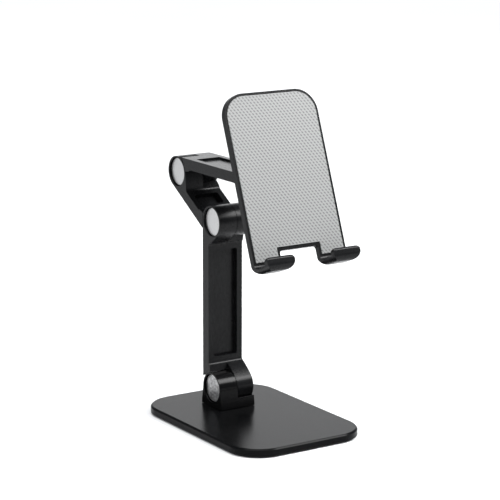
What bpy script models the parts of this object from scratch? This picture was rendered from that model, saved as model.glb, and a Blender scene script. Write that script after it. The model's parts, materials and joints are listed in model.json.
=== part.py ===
"""Phone stand: a weighted base, three folding arms on friction hinges and a cradle plate.

Run with: blender --background --python part.py
Every length below is in millimetres and is turned to metres where a mesh is made.
The frame is +X to the sitter's right, +Y to the back, +Z up, with the origin on the floor
under the middle of the base. Each arm is drawn upright, hinge to hinge along +Z, with its
flat outer face towards +Y, and is then turned about X to the angle at which it stands.
"""

from math import acos, asin, atan2, cos, degrees, hypot, pi, radians, sin, tan, tau

import bmesh
import bpy
from mathutils import Matrix

# ---------------------------------------------------------------- driving dimensions (mm)
GAP = 0.3                      # left between pieces that touch
CUT_PAST = 1.0                 # how far a cutter starts outside the face that it cuts
EDGE_BREAK = 0.3               # chamfer on the edges of small turned pieces
TIP_CHAMFER = 0.4              # chamfer on the tips of screws and bolts
SEGMENTS = 48                  # facets in a full turn of a knuckle or its bores
FINE_SEGMENTS = 24             # facets in a full turn of a small piece
CORNER_STEPS = 3               # facets in a small rounded corner

BASE_WIDTH = 80.0
BASE_DEPTH = 115.0
BASE_CORNER_RADIUS = 19.0
BASE_TOP = 5.0                 # height of the base plate's top face
BASE_WALL = 2.5                # rim round the hollow underside
BASE_WEB = 2.2                 # thickness over the hollow
BASE_CHAMFER = 0.9
PAD_PROUD = 0.5                # how far the foot pad stands below the base plate
PAD_THICKNESS = 1.0

BASE_HINGE_Y = 25.0
BASE_HINGE_Z = 15.9
KNUCKLE_RADIUS = 9.0
ARM_WIDTH = 22.3
ARM_THICKNESS = 6.0
FLARE_START = 13.5             # from a hinge's axis to where the arm's inner face flares
SPLIT_X = 0.5                  # the plane between the two knuckles of a hinge
TURNING_GAP = 0.35             # round a knuckle that turns in its neighbour

LOWER_ARM_LENGTH = 95.6
MIDDLE_ARM_LENGTH = 43.2
UPPER_ARM_LENGTH = 81.5
LOWER_ARM_TURN = 0.0           # degrees from upright, positive towards the front
MIDDLE_ARM_TURN = -58.3
UPPER_ARM_TURN = 90.0
PLATE_TURN = -21.0

OUTER_STOP = 60.0              # bend towards the flat outer faces at which the arms meet
INNER_RELIEF = 9.0             # angle cut back so that the inner fold closes
RELIEF_REACH = 16.0            # how far from a hinge's axis that cut goes along the arm

RECESS_MARGIN = 17.2           # from a hinge's axis to the end of an arm's recess
RECESS_RIM = 3.4
RECESS_DEPTH = 3.0
RECESS_CORNER = 1.2
POCKET_MARGIN = 15.4
POCKET_DEPTH = 1.2

CAP_BORE_RADIUS = 7.93
CAP_RADIUS = 7.6
CAP_SUNK = 1.3                 # from the knuckle's side to the cap's face
CAP_THICKNESS = 1.9
BOLT_RADIUS = 2.35
BOLT_HOLE_RADIUS = 2.65
NUT_FLATS = 8.0
NUT_THICKNESS = 3.6
NUT_POCKET_FLATS = 8.6
NUT_POCKET_DEPTH = 4.3
HEAD_BORE_RADIUS = 5.6
HEAD_BORE_DEPTH = 5.5
HEAD_RADIUS = 4.75
HEAD_HEIGHT = 2.7
HEAD_CROWN = 1.2               # how far the button head's flat top is drawn in
HEAD_SHOULDER = 1.4            # how far down its side the crown starts
SOCKET_FLATS = 3.0
SOCKET_DEPTH = 1.6
SPRING_RADIUS = 5.0
SPRING_THICKNESS = 0.5
SPRING_RISE = 0.3
WASHER_RADIUS = 6.0
WASHER_THICKNESS = 1.2
WASHER_SEAT_RADIUS = 6.3
WASHER_SEAT_DEPTH = 0.75

BRACKET_HEIGHT = 10.6          # from a bracket's mounting face to its hinge's axis
BRACKET_FOOT = 10.4            # half the bracket's depth at its mounting face
BRACKET_SEAT_HEIGHT = 5.8      # of the half that the other knuckle turns in
SEAT_LAND_FALL = 1.5           # of the lands beside that seat, over a cutter's reach
SCREW_RADIUS = 1.3
SCREW_HOLE_RADIUS = 1.6
SCREW_HEAD_RADIUS = 2.7
SCREW_HEAD_HEIGHT = 1.4
SCREW_HEAD_LAND = 0.15         # straight rim above the countersunk cone
SCREW_GRIP = 2.6               # how far a screw reaches into its bracket
SCREW_HOLE_DEPTH = 2.9
SCREW_PLACES = [(-5.6, -6.6), (-5.6, 6.6), (6.0, -6.6), (6.0, 6.6)]

PLATE_WIDTH = 59.3
PLATE_HEIGHT = 96.9            # from under the hooks to the top edge
PLATE_THICKNESS = 3.2
PLATE_TOP_CORNER = 13.0
PLATE_BOTTOM_CORNER = 5.0
PLATE_EDGE_ROUND = 0.5
HOOK_DROP = 44.3               # from the hinge down the plate to under the hooks
HOOK_REACH = 13.0              # from the plate's front face to the lip's front face
HOOK_FLOOR = 3.0
HOOK_BEND = 5.5
LIP_THICKNESS = 2.8
LIP_HEIGHT = 7.4
LIP_BEND = 4.0
LIP_CORNER = 2.4
NOTCH_WIDTH = 24.6
NOTCH_HEIGHT = 11.3
NOTCH_CORNER = 1.5
GRIP_PAD_SEAT = 0.6            # depth of the seat that the front pad lies in
GRIP_PAD_BORDER = 1.7
GRIP_PAD_THICKNESS = 0.6
GRIP_PAD_FOOT = 6.9            # height of the pad's lower ends over the hooks' underside
GRIP_PAD_NOTCH = 13.6
HOOK_PAD_THICKNESS = 1.0
HOOK_PAD_MARGIN = 2.2

# ---------------------------------------------------------------- derived
MM = 0.001
HALF_ARM = ARM_WIDTH / 2
INNER_FACE = KNUCKLE_RADIUS - ARM_THICKNESS
LEFT_KNUCKLE_END = SPLIT_X - GAP / 2
RIGHT_KNUCKLE_END = SPLIT_X + GAP / 2
TURNING_RADIUS = KNUCKLE_RADIUS + TURNING_GAP
BEYOND = 30.0                  # reach of a cutter that takes off a whole half
ORIGIN = (0.0, 0.0, 0.0)
ALONG_X = (0.0, pi / 2, 0.0)   # the rotation that turns a shape's Z axis to X
PLATE_FRONT = -(BRACKET_HEIGHT + GAP + PLATE_THICKNESS)

COLOURS = {
    "black_aluminium": ((0.035, 0.036, 0.038, 1.0), 0.42, 0.8),
    "silver_aluminium": ((0.78, 0.78, 0.77, 1.0), 0.3, 1.0),
    "steel": ((0.45, 0.45, 0.46, 1.0), 0.35, 1.0),
    "spring_steel": ((0.32, 0.31, 0.3, 1.0), 0.3, 1.0),
    "nylon": ((0.6, 0.58, 0.52, 1.0), 0.5, 0.0),
    "silver_silicone": ((0.62, 0.62, 0.62, 1.0), 0.6, 0.0),
    "black_silicone": ((0.02, 0.02, 0.02, 1.0), 0.7, 0.0),
}


# ---------------------------------------------------------------- scene helpers
def clear_scene():
    """Remove whatever the open file holds."""
    for thing in list(bpy.data.objects):
        bpy.data.objects.remove(thing, do_unlink=True)


def new_collection(name):
    """Return an empty collection linked to the scene."""
    group = bpy.data.collections.new(name)
    bpy.context.scene.collection.children.link(group)
    return group


def material(slot):
    """Return the named slot's material, made once."""
    if slot in bpy.data.materials:
        return bpy.data.materials[slot]
    colour, roughness, metallic = COLOURS[slot]
    made = bpy.data.materials.new(slot)
    made.use_nodes = True
    shader = made.node_tree.nodes["Principled BSDF"]
    shader.inputs["Base Color"].default_value = colour
    shader.inputs["Roughness"].default_value = roughness
    shader.inputs["Metallic"].default_value = metallic
    return made


def add_part(name, mesh, slot, parent=None, at=ORIGIN, rotation=ORIGIN):
    """Put a mesh in the stand as a named part; at is in mm, rotation in radians."""
    part = bpy.data.objects.new(name, mesh)
    stand.objects.link(part)
    part.location = [value * MM for value in at]
    part.rotation_euler = rotation
    part.parent = parent
    mesh.materials.clear()
    mesh.materials.append(material(slot))
    return part


def add_cutter(mesh, parent=None, at=ORIGIN, rotation=ORIGIN):
    """Put a mesh among the cutters; at is in mm, rotation in radians."""
    cutter = bpy.data.objects.new("cutter", mesh)
    cutters.objects.link(cutter)
    cutter.location = [value * MM for value in at]
    cutter.rotation_euler = rotation
    cutter.parent = parent
    cutter.hide_render = True
    cutter.display_type = "WIRE"
    return cutter


def add_axis(name, parent, at, turn):
    """Add an empty on a hinge's axis, turned about X by the given degrees."""
    axis = bpy.data.objects.new(name, None)
    stand.objects.link(axis)
    axis.location = [value * MM for value in at]
    axis.rotation_euler = (radians(turn), 0.0, 0.0)
    axis.parent = parent
    return axis


def boolean(part, cutter, operation="DIFFERENCE"):
    """Add an exact Boolean modifier."""
    change = part.modifiers.new(operation.lower(), "BOOLEAN")
    change.operation = operation
    change.solver = "EXACT"
    change.object = cutter


def round_edges(part, width, segments=1):
    """Round the part's hard edges."""
    bevel = part.modifiers.new("edges", "BEVEL")
    bevel.width = width * MM
    bevel.segments = segments
    bevel.limit_method = "ANGLE"
    bevel.angle_limit = radians(30)
    bevel.use_clamp_overlap = True


# ---------------------------------------------------------------- shapes
def arc(centre, radius, start, end, steps=None):
    """Points of an arc in a plane, from start to end degrees, both included."""
    count = steps or max(2, round(abs(end - start) / 360 * SEGMENTS))
    turns = [radians(start + (end - start) * step / count) for step in range(count + 1)]
    return [(centre[0] + radius * cos(turn), centre[1] + radius * sin(turn)) for turn in turns]


def rounded_rectangle(low, high, radius, steps=None):
    """Outline of a rectangle with rounded corners."""
    points = arc((high[0] - radius, low[1] + radius), radius, -90, 0, steps)
    points += arc((high[0] - radius, high[1] - radius), radius, 0, 90, steps)
    points += arc((low[0] + radius, high[1] - radius), radius, 90, 180, steps)
    points += arc((low[0] + radius, low[1] + radius), radius, 180, 270, steps)
    return points


def extruded(outline, start, end):
    """A mesh of an (x, y) outline extruded along Z from start to end, all in mm."""
    curve = bpy.data.curves.new("outline", "CURVE")
    curve.dimensions = "2D"
    curve.fill_mode = "BOTH"
    curve.resolution_u = 1
    curve.extrude = (end - start) / 2 * MM
    spline = curve.splines.new("POLY")
    spline.points.add(len(outline) - 1)
    for point, (x, y) in zip(spline.points, outline):
        point.co = (x * MM, y * MM, 0.0, 1.0)
    spline.use_cyclic_u = True
    holder = bpy.data.objects.new("outline", curve)
    cutters.objects.link(holder)
    evaluated = holder.evaluated_get(bpy.context.evaluated_depsgraph_get())
    mesh = bpy.data.meshes.new_from_object(evaluated)
    bpy.data.objects.remove(holder, do_unlink=True)
    mesh.materials.clear()
    weld(mesh, (start + end) / 2)
    return mesh


def weld(mesh, lift):
    """Join an extruded outline's caps to its sides and lift it to its place along Z."""
    work = bmesh.new()
    work.from_mesh(mesh)
    bmesh.ops.remove_doubles(work, verts=work.verts, dist=0.00002)
    bmesh.ops.dissolve_limit(work, angle_limit=radians(0.5), verts=work.verts, edges=work.edges)
    bmesh.ops.recalc_face_normals(work, faces=work.faces)
    bmesh.ops.translate(work, verts=work.verts, vec=(0.0, 0.0, lift * MM))
    work.to_mesh(mesh)
    work.free()


def across(outline, start, end):
    """A mesh of a (y, z) outline extruded along X from start to end, in mm."""
    mesh = extruded(outline, start, end)
    # local x, y, z become y, z, x
    mesh.transform(Matrix(((0, 0, 1, 0), (1, 0, 0, 0), (0, 1, 0, 0), (0, 0, 0, 1))))
    return mesh


def forward(outline, start, end):
    """A mesh of an (x, z) outline extruded along Y from start to end, in mm."""
    mesh = extruded(outline, -end, -start)
    mesh.transform(Matrix.Rotation(pi / 2, 4, "X"))
    return mesh


def lathed(profile, steps=SEGMENTS):
    """A mesh turned about Z from a closed (radius, z) profile in mm, outer side downwards."""
    mesh = bpy.data.meshes.new("profile")
    on_axis = profile[0][0] == 0
    count = len(profile)
    edges = [(index, index + 1) for index in range(count - 1)]
    if not on_axis:
        edges.append((count - 1, 0))
    mesh.from_pydata([(r * MM, 0.0, z * MM) for r, z in profile], edges, [])
    holder = bpy.data.objects.new("profile", mesh)
    change = holder.modifiers.new("turn", "SCREW")
    change.axis = "Z"
    change.angle = tau
    change.steps = steps
    change.render_steps = steps
    change.use_merge_vertices = True
    change.merge_threshold = 0.00001
    cutters.objects.link(holder)
    evaluated = holder.evaluated_get(bpy.context.evaluated_depsgraph_get())
    made = bpy.data.meshes.new_from_object(evaluated)
    bpy.data.objects.remove(holder, do_unlink=True)
    return smooth(made)


def smooth(mesh, angle=35):
    """Shade a mesh smooth between faces that meet at less than the angle."""
    mesh.shade_smooth()
    mesh.set_sharp_from_angle(angle=radians(angle))
    return mesh


def hexagon(flats):
    """Outline of a hexagon of the given width across flats."""
    radius = flats / 2 / cos(pi / 6)
    return [(radius * cos(pi / 3 * side), radius * sin(pi / 3 * side)) for side in range(6)]


def solid_profile(steps):
    """A closed turned profile from (radius, low, high) steps, listed from the top down."""
    profile = [(0.0, steps[0][2])]
    for radius, low, high in steps:
        profile += [(radius, high), (radius, low)]
    profile.append((0.0, steps[-1][1]))
    return profile


def ring_profile(inner, outer, low, high):
    """A closed turned profile of a plain ring."""
    return [(inner, high), (outer, high), (outer, low), (inner, low)]


# ---------------------------------------------------------------- hinge knuckles
def flare_tangent():
    """The point where an arm's flare runs into its knuckle, with the hinge at (0, 0)."""
    reach = hypot(INNER_FACE, FLARE_START)
    lean = atan2(INNER_FACE, FLARE_START)
    turn = acos(KNUCKLE_RADIUS / reach) - lean
    return -KNUCKLE_RADIUS * sin(turn), KNUCKLE_RADIUS * cos(turn), degrees(turn)


def arm_outline(length):
    """The (y, z) side view of an arm with a flared knuckle at each end."""
    _, _, tangent = flare_tangent()
    points = arc((0, length), KNUCKLE_RADIUS, 0, 270 - tangent)
    points.append((INNER_FACE, length - FLARE_START))
    points.append((INNER_FACE, FLARE_START))
    points += arc((0, 0), KNUCKLE_RADIUS, 90 + tangent, 360)
    return points


def knuckle_clearance(length, at_top):
    """The (y, z) outline to take off an arm's half so that its neighbour can turn there."""
    stop = radians(OUTER_STOP)
    relief = radians(INNER_RELIEF)
    points = [(RELIEF_REACH * tan(relief), RELIEF_REACH)]
    points += arc((0, 0), TURNING_RADIUS, 90 - INNER_RELIEF, OUTER_STOP)
    points.append((
        TURNING_RADIUS * cos(stop) + BEYOND * sin(stop),
        TURNING_RADIUS * sin(stop) - BEYOND * cos(stop),
    ))
    points += [(BEYOND, -BEYOND), (-BEYOND, -BEYOND), (-BEYOND, RELIEF_REACH)]
    if at_top:
        points = [(y, length - z) for y, z in reversed(points)]
    return points


def cut_parent_knuckle(part, parent, at=ORIGIN):
    """Bore a left knuckle for its cap, nut, bolt and friction washer."""
    depth = CAP_SUNK + CAP_THICKNESS + GAP
    nut_seat = -HALF_ARM + depth + NUT_POCKET_DEPTH
    steps = [
        (WASHER_SEAT_RADIUS, LEFT_KNUCKLE_END - WASHER_SEAT_DEPTH, LEFT_KNUCKLE_END + GAP / 3),
        (BOLT_HOLE_RADIUS, -HALF_ARM + depth, LEFT_KNUCKLE_END - WASHER_SEAT_DEPTH),
        (CAP_BORE_RADIUS, -HALF_ARM - CUT_PAST, -HALF_ARM + depth),
    ]
    boolean(part, add_cutter(lathed(solid_profile(steps)), parent, at, ALONG_X))
    pocket = extruded(hexagon(NUT_POCKET_FLATS), -HALF_ARM + depth - CUT_PAST, nut_seat)
    boolean(part, add_cutter(pocket, parent, at, ALONG_X))


def cut_child_knuckle(part, parent, at=ORIGIN):
    """Bore a right knuckle for the bolt, its head, the disc springs and the friction washer."""
    steps = [
        (HEAD_BORE_RADIUS, HALF_ARM - HEAD_BORE_DEPTH, HALF_ARM + CUT_PAST),
        (BOLT_HOLE_RADIUS, RIGHT_KNUCKLE_END + WASHER_SEAT_DEPTH, HALF_ARM - HEAD_BORE_DEPTH),
        (WASHER_SEAT_RADIUS, RIGHT_KNUCKLE_END - GAP / 3, RIGHT_KNUCKLE_END + WASHER_SEAT_DEPTH),
    ]
    boolean(part, add_cutter(lathed(solid_profile(steps)), parent, at, ALONG_X))


# ---------------------------------------------------------------- sub-parts
def make_arm(name, axis, length, pocketed):
    """An arm: right knuckle at its lower hinge, left knuckle at its upper one."""
    arm = add_part(name, across(arm_outline(length), -HALF_ARM, HALF_ARM), "black_aluminium", axis)
    lower = across(knuckle_clearance(length, False), -HALF_ARM - CUT_PAST, RIGHT_KNUCKLE_END)
    upper = across(knuckle_clearance(length, True), LEFT_KNUCKLE_END, HALF_ARM + CUT_PAST)
    boolean(arm, add_cutter(lower, axis))
    boolean(arm, add_cutter(upper, axis))
    half = HALF_ARM - RECESS_RIM
    recess = rounded_rectangle(
        (-half, RECESS_MARGIN), (half, length - RECESS_MARGIN), RECESS_CORNER, CORNER_STEPS
    )
    recess_start = INNER_FACE - CUT_PAST
    boolean(arm, add_cutter(forward(recess, recess_start, INNER_FACE + RECESS_DEPTH), axis))
    if pocketed:
        pocket = rounded_rectangle(
            (-half, POCKET_MARGIN), (half, length - POCKET_MARGIN), RECESS_CORNER, CORNER_STEPS
        )
        floor = KNUCKLE_RADIUS - POCKET_DEPTH
        boolean(arm, add_cutter(forward(pocket, floor, KNUCKLE_RADIUS + CUT_PAST), axis))
    cut_child_knuckle(arm, axis)
    cut_parent_knuckle(arm, axis, (0.0, 0.0, length))
    smooth(arm.data)
    return arm


def make_bracket(name, axis, turn, holds_left):
    """A hinge bracket, its mounting face below its hinge's axis before it is turned about X."""
    outline = arc((0, 0), KNUCKLE_RADIUS, 0, 180)
    outline += [(-BRACKET_FOOT, -BRACKET_HEIGHT), (BRACKET_FOOT, -BRACKET_HEIGHT)]
    rotation = (radians(turn), 0.0, 0.0)
    body = across(outline, -HALF_ARM, HALF_ARM)
    bracket = add_part(name, body, "black_aluminium", axis, rotation=rotation)
    seat_top = BRACKET_SEAT_HEIGHT - BRACKET_HEIGHT
    dip = degrees(asin(-seat_top / TURNING_RADIUS))
    seat = arc((0, 0), TURNING_RADIUS, 180 + dip, 360 - dip)
    land = seat_top - SEAT_LAND_FALL
    seat += [(BEYOND, land), (BEYOND, BEYOND), (-BEYOND, BEYOND), (-BEYOND, land)]
    if holds_left:
        clearance = across(seat, LEFT_KNUCKLE_END, HALF_ARM + CUT_PAST)
    else:
        clearance = across(seat, -HALF_ARM - CUT_PAST, RIGHT_KNUCKLE_END)
    boolean(bracket, add_cutter(clearance, axis, rotation=rotation))
    if holds_left:
        cut_parent_knuckle(bracket, axis)
    else:
        cut_child_knuckle(bracket, axis)
    face = -BRACKET_HEIGHT
    hole = [(SCREW_HOLE_RADIUS, face - CUT_PAST, face + SCREW_HOLE_DEPTH)]
    for x, y in SCREW_PLACES:
        drill = lathed(solid_profile(hole), steps=FINE_SEGMENTS // 2)
        drill.transform(Matrix.Translation((x * MM, y * MM, 0.0)))
        boolean(bracket, add_cutter(drill, axis, rotation=rotation))
    smooth(bracket.data)
    return bracket


def screw_mesh(web):
    """A countersunk screw along +Z, its head's face at z = 0, for a plate of the given web."""
    tip = web + GAP + SCREW_GRIP
    profile = [
        (0.0, tip),
        (SCREW_RADIUS - TIP_CHAMFER, tip),
        (SCREW_RADIUS, tip - TIP_CHAMFER),
        (SCREW_RADIUS, SCREW_HEAD_HEIGHT),
        (SCREW_HEAD_RADIUS, SCREW_HEAD_LAND),
        (SCREW_HEAD_RADIUS, 0.0),
        (0.0, 0.0),
    ]
    return lathed(profile, steps=FINE_SEGMENTS // 2)


def screw_hole(web):
    """The countersunk hole for that screw, right through a plate of the given web."""
    profile = [
        (0.0, web + CUT_PAST),
        (SCREW_HOLE_RADIUS, web + CUT_PAST),
        (SCREW_HOLE_RADIUS, SCREW_HEAD_HEIGHT),
        (SCREW_HEAD_RADIUS + GAP, SCREW_HEAD_LAND),
        (SCREW_HEAD_RADIUS + GAP, -CUT_PAST),
        (0.0, -CUT_PAST),
    ]
    return lathed(profile, steps=FINE_SEGMENTS // 2)


def make_hinge(name, axis, at):
    """A hinge's hardware: cap, nut, friction washer, two disc springs and bolt."""
    def place(kind, mesh, slot):
        return add_part(f"{name}_{kind}", mesh, slot, axis, at, ALONG_X)

    cap_face = -HALF_ARM + CAP_SUNK
    cap_back = cap_face + CAP_THICKNESS
    cap = [
        (0.0, cap_back),
        (CAP_RADIUS - EDGE_BREAK, cap_back),
        (CAP_RADIUS, cap_back - EDGE_BREAK),
        (CAP_RADIUS, cap_face + EDGE_BREAK),
        (CAP_RADIUS - EDGE_BREAK, cap_face),
        (0.0, cap_face),
    ]
    place("cap", lathed(cap, FINE_SEGMENTS), "silver_aluminium")

    nut_start = cap_back + 2 * GAP
    nut_end = nut_start + NUT_THICKNESS
    nut = place("nut", extruded(hexagon(NUT_FLATS), nut_start, nut_end), "steel")
    thread = [(BOLT_HOLE_RADIUS, nut_start - CUT_PAST, nut_end + CUT_PAST)]
    boolean(nut, add_cutter(lathed(solid_profile(thread), FINE_SEGMENTS), axis, at, ALONG_X))

    half = WASHER_THICKNESS / 2
    washer = ring_profile(BOLT_HOLE_RADIUS, WASHER_RADIUS, SPLIT_X - half, SPLIT_X + half)
    place("friction_washer", lathed(washer, FINE_SEGMENTS), "nylon")

    seat = HALF_ARM - HEAD_BORE_DEPTH + GAP
    for kind, start, opens_out in (
        ("spring_inner", seat, True),
        ("spring_outer", seat + SPRING_THICKNESS + SPRING_RISE + GAP, False),
    ):
        place(kind, lathed(disc_spring(start, opens_out), FINE_SEGMENTS), "spring_steel")

    head_seat = seat + 2 * (SPRING_THICKNESS + SPRING_RISE + GAP)
    top = head_seat + HEAD_HEIGHT
    tip = nut_start + GAP
    bolt = [
        (0.0, top),
        (HEAD_RADIUS - HEAD_CROWN, top),
        (HEAD_RADIUS - EDGE_BREAK, top - 2 * EDGE_BREAK),
        (HEAD_RADIUS, top - HEAD_SHOULDER),
        (HEAD_RADIUS, head_seat),
        (BOLT_RADIUS, head_seat),
        (BOLT_RADIUS, tip + TIP_CHAMFER),
        (BOLT_RADIUS - TIP_CHAMFER, tip),
        (0.0, tip),
    ]
    screw = place("bolt", lathed(bolt, FINE_SEGMENTS), "steel")
    socket = extruded(hexagon(SOCKET_FLATS), top - SOCKET_DEPTH, top + CUT_PAST)
    boolean(screw, add_cutter(socket, axis, at, ALONG_X))


def disc_spring(start, opens_out):
    """A coned ring's profile from start along its axis, its rim towards +Z if it opens out."""
    inner_low, outer_low = (start, start + SPRING_RISE) if opens_out else (start + SPRING_RISE, start)
    return [
        (BOLT_HOLE_RADIUS, inner_low + SPRING_THICKNESS),
        (SPRING_RADIUS, outer_low + SPRING_THICKNESS),
        (SPRING_RADIUS, outer_low),
        (BOLT_HOLE_RADIUS, inner_low),
    ]


def base_outline(inset):
    """The base's outline, drawn in by the given distance."""
    x = BASE_WIDTH / 2 - inset
    y = BASE_DEPTH / 2 - inset
    radius = BASE_CORNER_RADIUS - inset
    return rounded_rectangle((-x, -y), (x, y), radius)


def make_base():
    """The base plate with the ballast and the foot pad in its hollow underside."""
    web_bottom = BASE_TOP - BASE_WEB
    slab = extruded(base_outline(0), PAD_PROUD, BASE_TOP)
    plate = add_part("base_plate", slab, "black_aluminium")
    round_edges(plate, BASE_CHAMFER)
    hollow = extruded(base_outline(BASE_WALL), PAD_PROUD - CUT_PAST, web_bottom)
    boolean(plate, add_cutter(hollow))
    for number, (x, y) in enumerate(SCREW_PLACES, start=1):
        at = (x, BASE_HINGE_Y + y, web_bottom)
        boolean(plate, add_cutter(screw_hole(BASE_WEB), at=at))
        add_part(f"base_screw_{number}", screw_mesh(BASE_WEB), "steel", at=at)
    inset = BASE_WALL + GAP
    add_part("base_pad", extruded(base_outline(inset), 0.0, PAD_THICKNESS), "black_silicone")
    ballast = extruded(base_outline(inset), PAD_THICKNESS + GAP, web_bottom - GAP)
    add_part("ballast_plate", ballast, "steel")
    smooth(plate.data)


def hook_profile():
    """The plate's (y, z) side view from the top edge down round the hook, from under the hook."""
    front = PLATE_FRONT
    back = front + PLATE_THICKNESS
    bend_y = front - (HOOK_BEND - PLATE_THICKNESS)
    lip_front = front - HOOK_REACH
    lip_back = lip_front + LIP_THICKNESS
    inner_bend = HOOK_BEND - PLATE_THICKNESS
    inner_corner = LIP_BEND - LIP_THICKNESS
    points = [(front, PLATE_HEIGHT)]
    points += arc((front - inner_bend, HOOK_FLOOR + inner_bend), inner_bend, 0, -90, CORNER_STEPS)
    corner = (lip_back + inner_corner, HOOK_FLOOR + inner_corner)
    points += arc(corner, inner_corner, 270, 180, CORNER_STEPS)
    lip_round = LIP_THICKNESS / 2
    top = (lip_front + lip_round, LIP_HEIGHT - lip_round)
    points += arc(top, lip_round, 0, 180, 2 * CORNER_STEPS)
    points += arc((lip_front + LIP_BEND, LIP_BEND), LIP_BEND, 180, 270, 2 * CORNER_STEPS)
    points += arc((bend_y, HOOK_BEND), HOOK_BEND, 270, 360, 2 * CORNER_STEPS)
    points.append((back, PLATE_HEIGHT))
    return [(y, z - HOOK_DROP) for y, z in points]


def plate_front_outline():
    """The plate's (x, z) front view: two legs below, big round corners above."""
    half = PLATE_WIDTH / 2
    notch = NOTCH_WIDTH / 2
    low = PLATE_BOTTOM_CORNER
    top = PLATE_HEIGHT - PLATE_TOP_CORNER
    points = []
    for side in (1, -1):
        leg = arc((notch + low, low), low, 180, 270, 2 * CORNER_STEPS)
        leg += arc((half - low, low), low, 270, 360, 2 * CORNER_STEPS)
        leg += arc((half - PLATE_TOP_CORNER, top), PLATE_TOP_CORNER, 0, 90)
        centre = (notch - NOTCH_CORNER, NOTCH_HEIGHT - NOTCH_CORNER)
        wing = arc(centre, NOTCH_CORNER, 90, 0, CORNER_STEPS) + leg
        if side == 1:
            points += wing
        else:
            points += [(-x, z) for x, z in reversed(wing)]
    return [(x, z - HOOK_DROP) for x, z in points]


def lip_corner(x, inwards):
    """The (x, z) outline that rounds one top corner of a lip at x; inwards is +1 or -1."""
    shoulder = LIP_HEIGHT - LIP_CORNER
    middle = x + inwards * LIP_CORNER
    outside = x - inwards * CUT_PAST
    start = 180 if inwards > 0 else 0
    points = arc((middle, shoulder), LIP_CORNER, start, 90, CORNER_STEPS)
    points += [(middle, LIP_HEIGHT + CUT_PAST), (outside, LIP_HEIGHT + CUT_PAST), (outside, shoulder)]
    return [(px, pz - HOOK_DROP) for px, pz in points]


def make_plate(axis):
    """The cradle plate, bent into two hooks, with its pads and the bracket's screws."""
    half = PLATE_WIDTH / 2
    notch = NOTCH_WIDTH / 2
    front = PLATE_FRONT
    lip_front = front - HOOK_REACH
    plate = add_part("phone_plate", across(hook_profile(), -half, half), "black_aluminium", axis)
    blank = forward(plate_front_outline(), lip_front - CUT_PAST, front + BEYOND)
    boolean(plate, add_cutter(blank, axis), "INTERSECT")
    for side in (1, -1):
        for x, inwards in ((side * notch, side), (side * half, -side)):
            past_lip = lip_front + LIP_THICKNESS + CUT_PAST
            corner = forward(lip_corner(x, inwards), lip_front - CUT_PAST, past_lip)
            boolean(plate, add_cutter(corner, axis))
    round_edges(plate, PLATE_EDGE_ROUND)
    seat = forward(pad_outline(GRIP_PAD_BORDER), front - CUT_PAST, front + GRIP_PAD_SEAT)
    boolean(plate, add_cutter(seat, axis))
    web = PLATE_THICKNESS - GRIP_PAD_SEAT
    for number, (x, z) in enumerate(SCREW_PLACES, start=1):
        at = (x, front + GRIP_PAD_SEAT, z)
        turn = (-pi / 2, 0.0, 0.0)
        boolean(plate, add_cutter(screw_hole(web), axis, at, turn))
        add_part(f"plate_screw_{number}", screw_mesh(web), "steel", axis, at, turn)
    smooth(plate.data)

    pad_back = front + GRIP_PAD_SEAT - GAP
    pad = forward(pad_outline(GRIP_PAD_BORDER + GAP), pad_back - GRIP_PAD_THICKNESS, pad_back)
    add_part("plate_pad", pad, "silver_silicone", axis)
    for side, word in ((-1, "left"), (1, "right")):
        ends = sorted((side * (notch + HOOK_PAD_MARGIN), side * (half - HOOK_PAD_MARGIN)))
        add_part(f"hook_pad_{word}", across(hook_pad_profile(), *ends), "black_silicone", axis)


def pad_outline(inset):
    """The front pad's (x, z) outline, drawn in from the plate's edge."""
    half = PLATE_WIDTH / 2 - inset
    leg = NOTCH_WIDTH / 2 + inset
    extra = inset - GRIP_PAD_BORDER
    foot = GRIP_PAD_FOOT + extra
    notch = GRIP_PAD_NOTCH + extra
    radius = PLATE_TOP_CORNER - inset
    top = PLATE_HEIGHT - inset
    wing = [(leg, notch), (leg, foot), (half, foot)]
    wing += arc((half - radius, top - radius), radius, 0, 90)
    points = wing + [(-x, z) for x, z in reversed(wing)]
    return [(x, z - HOOK_DROP) for x, z in points]


def hook_pad_profile():
    """The (y, z) side view of the rubber that lines a hook's floor and lip."""
    front = PLATE_FRONT
    lip_back = front - HOOK_REACH + LIP_THICKNESS
    floor = HOOK_FLOOR + GAP
    corner = LIP_BEND - LIP_THICKNESS
    thick = HOOK_PAD_THICKNESS
    start = front - (HOOK_BEND - PLATE_THICKNESS)
    top = LIP_HEIGHT - LIP_THICKNESS / 2
    centre = (lip_back + GAP + corner, floor + corner)
    points = [(start, floor), (start, floor + thick)]
    points.append((lip_back + GAP + thick + EDGE_BREAK, floor + thick))
    points.append((lip_back + GAP + thick, floor + thick + EDGE_BREAK))
    points.append((lip_back + GAP + thick, top))
    points.append((lip_back + GAP, top))
    points += arc(centre, corner, 180, 270, CORNER_STEPS)
    return [(y, z - HOOK_DROP) for y, z in points]


# ---------------------------------------------------------------- assembly
clear_scene()
stand = new_collection("phone_stand")
cutters = new_collection("cutters")

make_base()
base_axis = add_axis("base_hinge_axis", None, (0.0, BASE_HINGE_Y, BASE_HINGE_Z), LOWER_ARM_TURN)
elbow_axis = add_axis(
    "elbow_hinge_axis", base_axis, (0.0, 0.0, LOWER_ARM_LENGTH), MIDDLE_ARM_TURN - LOWER_ARM_TURN
)
upper_axis = add_axis(
    "upper_hinge_axis", elbow_axis, (0.0, 0.0, MIDDLE_ARM_LENGTH), UPPER_ARM_TURN - MIDDLE_ARM_TURN
)
plate_axis = add_axis(
    "plate_hinge_axis", upper_axis, (0.0, 0.0, UPPER_ARM_LENGTH), PLATE_TURN - UPPER_ARM_TURN
)
bpy.context.view_layer.update()

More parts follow.
